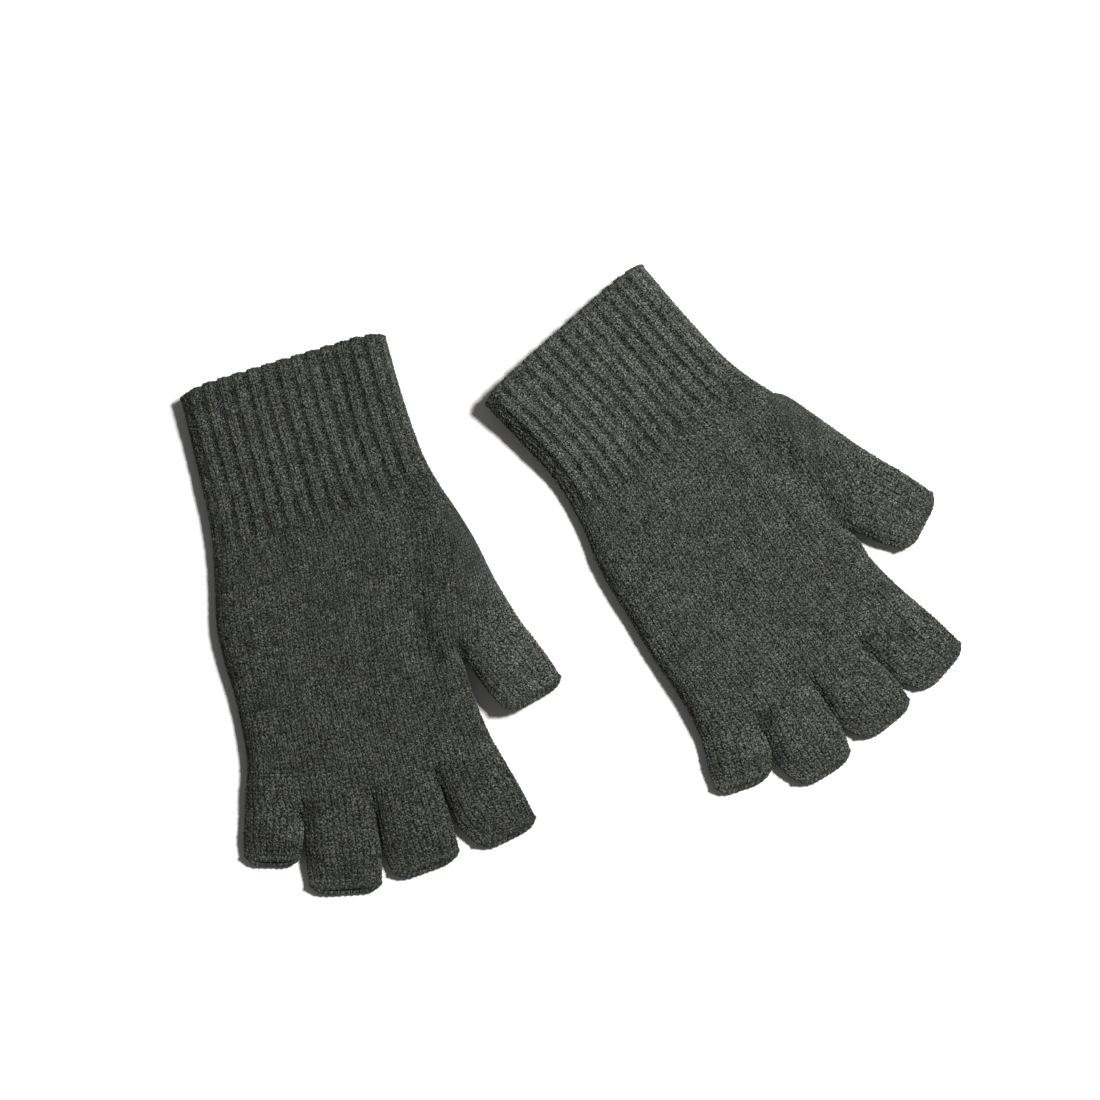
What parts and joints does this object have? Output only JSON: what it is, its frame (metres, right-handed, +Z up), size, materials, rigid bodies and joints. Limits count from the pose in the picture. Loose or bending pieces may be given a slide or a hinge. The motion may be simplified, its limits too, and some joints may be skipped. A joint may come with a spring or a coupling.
{
  "type": "fingerless gloves",
  "caption": "Pair of knitted fingerless gloves lying flat: ribbed cuffs, plain hands, short open thumb and finger tubes, each tube folding at its root.",
  "frame": {"origin": "middle of the pair's bounding box, on the surface that the gloves lie on", "axes": "+X across the pair from the right glove to the left glove, +Y towards the cuffs, +Z up from the surface"},
  "size_m": [0.2928, 0.2356, 0.015],
  "materials": {
    "right_hand": "matte",
    "right_rib": "matte",
    "right_edge": "matte",
    "right_stitch": "matte",
    "left_hand": "matte",
    "left_rib": "matte",
    "left_edge": "matte",
    "left_stitch": "matte"
  },
  "bodies": {
    "right_hand": {"right_hand": "right_hand", "right_crotch_little_ring": "right_stitch", "right_crotch_ring_middle": "right_stitch", "right_crotch_middle_index": "right_stitch", "right_crotch_thumb": "right_stitch"},
    "right_cuff": {"right_cuff_rib": "right_rib", "right_cuff_welt": "right_edge"},
    "right_thumb": {"right_thumb": "right_hand", "right_thumb_castoff": "right_edge"},
    "right_index": {"right_index": "right_hand", "right_index_castoff": "right_edge"},
    "right_middle": {"right_middle": "right_hand", "right_middle_castoff": "right_edge"},
    "right_ring": {"right_ring": "right_hand", "right_ring_castoff": "right_edge"},
    "right_little": {"right_little": "right_hand", "right_little_castoff": "right_edge"},
    "left_hand": {"left_hand": "left_hand", "left_crotch_little_ring": "left_stitch", "left_crotch_ring_middle": "left_stitch", "left_crotch_middle_index": "left_stitch", "left_crotch_thumb": "left_stitch"},
    "left_cuff": {"left_cuff_rib": "left_rib", "left_cuff_welt": "left_edge"},
    "left_thumb": {"left_thumb": "left_hand", "left_thumb_castoff": "left_edge"},
    "left_index": {"left_index": "left_hand", "left_index_castoff": "left_edge"},
    "left_middle": {"left_middle": "left_hand", "left_middle_castoff": "left_edge"},
    "left_ring": {"left_ring": "left_hand", "left_ring_castoff": "left_edge"},
    "left_little": {"left_little": "left_hand", "left_little_castoff": "left_edge"}
  },
  "joints": [
    {"name": "left_glove_lift", "type": "slide", "parent": "right_hand", "child": "left_hand", "axis": [0, 0, 1], "range_m": [0, 0.12]},
    {"name": "right_wrist_fold", "type": "hinge", "parent": "right_hand", "child": "right_cuff", "pos_m": [-0.09017, 0.02043, 0.00525], "axis": [0.9532, 0.3024, 0], "range_deg": [0, 75]},
    {"name": "right_thumb_fold", "type": "hinge", "parent": "right_hand", "child": "right_thumb", "pos_m": [-0.02814, -0.0259, 0.00525], "axis": [-0.8141, -0.5807, 0], "range_deg": [0, 70]},
    {"name": "right_index_fold", "type": "hinge", "parent": "right_hand", "child": "right_index", "pos_m": [-0.03578, -0.07514, 0.00525], "axis": [-0.8813, -0.4726, 0], "range_deg": [0, 70]},
    {"name": "right_middle_fold", "type": "hinge", "parent": "right_hand", "child": "right_middle", "pos_m": [-0.05955, -0.08648, 0.00525], "axis": [-0.9563, -0.2924, 0], "range_deg": [0, 70]},
    {"name": "right_ring_fold", "type": "hinge", "parent": "right_hand", "child": "right_ring", "pos_m": [-0.08549, -0.0927, 0.00525], "axis": [-0.9969, -0.0785, 0], "range_deg": [0, 70]},
    {"name": "right_little_fold", "type": "hinge", "parent": "right_hand", "child": "right_little", "pos_m": [-0.11023, -0.09424, 0.00525], "axis": [-0.9999, 0.0157, 0], "range_deg": [0, 70]},
    {"name": "left_wrist_fold", "type": "hinge", "parent": "left_hand", "child": "left_cuff", "pos_m": [0.03643, 0.04603, 0.00525], "axis": [0.7524, 0.6587, 0], "range_deg": [0, 75]},
    {"name": "left_thumb_fold", "type": "hinge", "parent": "left_hand", "child": "left_thumb", "pos_m": [0.11163, 0.02889, 0.00525], "axis": [-0.4067, -0.9135, 0], "range_deg": [0, 70]},
    {"name": "left_index_fold", "type": "hinge", "parent": "left_hand", "child": "left_index", "pos_m": [0.12164, -0.02182, 0.00525], "axis": [-0.6225, -0.7826, 0], "range_deg": [0, 70]},
    {"name": "left_middle_fold", "type": "hinge", "parent": "left_hand", "child": "left_middle", "pos_m": [0.10413, -0.03949, 0.00525], "axis": [-0.7547, -0.6561, 0], "range_deg": [0, 70]},
    {"name": "left_ring_fold", "type": "hinge", "parent": "left_hand", "child": "left_ring", "pos_m": [0.08406, -0.05471, 0.00525], "axis": [-0.8572, -0.515, 0], "range_deg": [0, 70]},
    {"name": "left_little_fold", "type": "hinge", "parent": "left_hand", "child": "left_little", "pos_m": [0.06141, -0.06609, 0.00525], "axis": [-0.9613, -0.2756, 0], "range_deg": [0, 70]}
  ]
}
